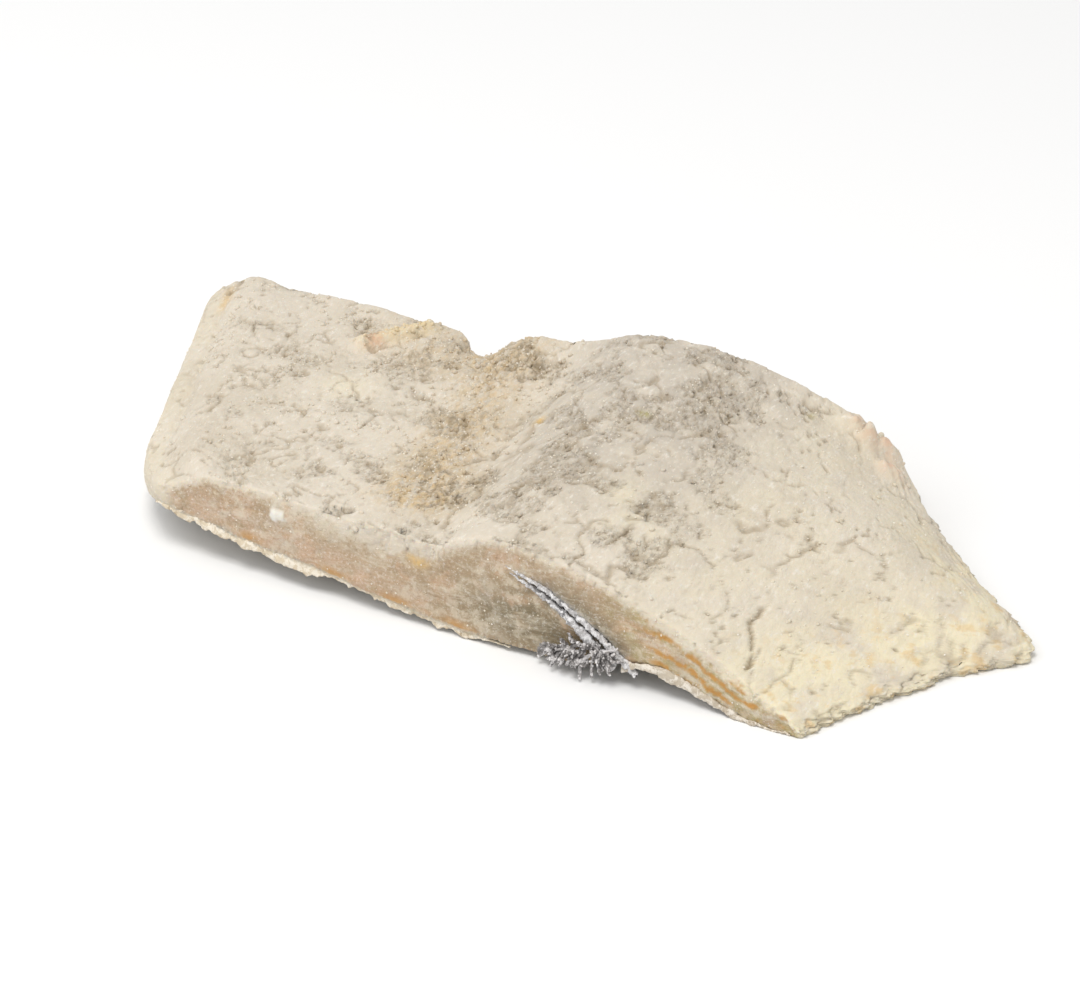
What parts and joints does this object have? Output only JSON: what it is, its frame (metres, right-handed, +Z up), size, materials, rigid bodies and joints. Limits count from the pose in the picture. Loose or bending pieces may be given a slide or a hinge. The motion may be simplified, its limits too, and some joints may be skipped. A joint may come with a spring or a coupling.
{
  "type": "salted dried cod slab",
  "caption": "Crosswise slab of butterflied salted dried cod: skin below, salt-crusted flesh above, thick loin on one side of the midline and a thin belly edge.",
  "frame": {"origin": "the middle of the bounding box, at the level of the surface that the skin side rests on", "axes": "+X from the thick belly flap to the thin belly edge, along the straight front saw cut; +Y from the front cut to the back cut; +Z up, from the skin to the flesh"},
  "size_m": [0.2696, 0.1132, 0.0369],
  "materials": {
    "dried_cod": "matte dried flesh under a crust of fine salt, translucent amber at the saw cut, grey skin below"
  },
  "bodies": {
    "root": {"cod_slab": "dried_cod"}
  },
  "joints": []
}
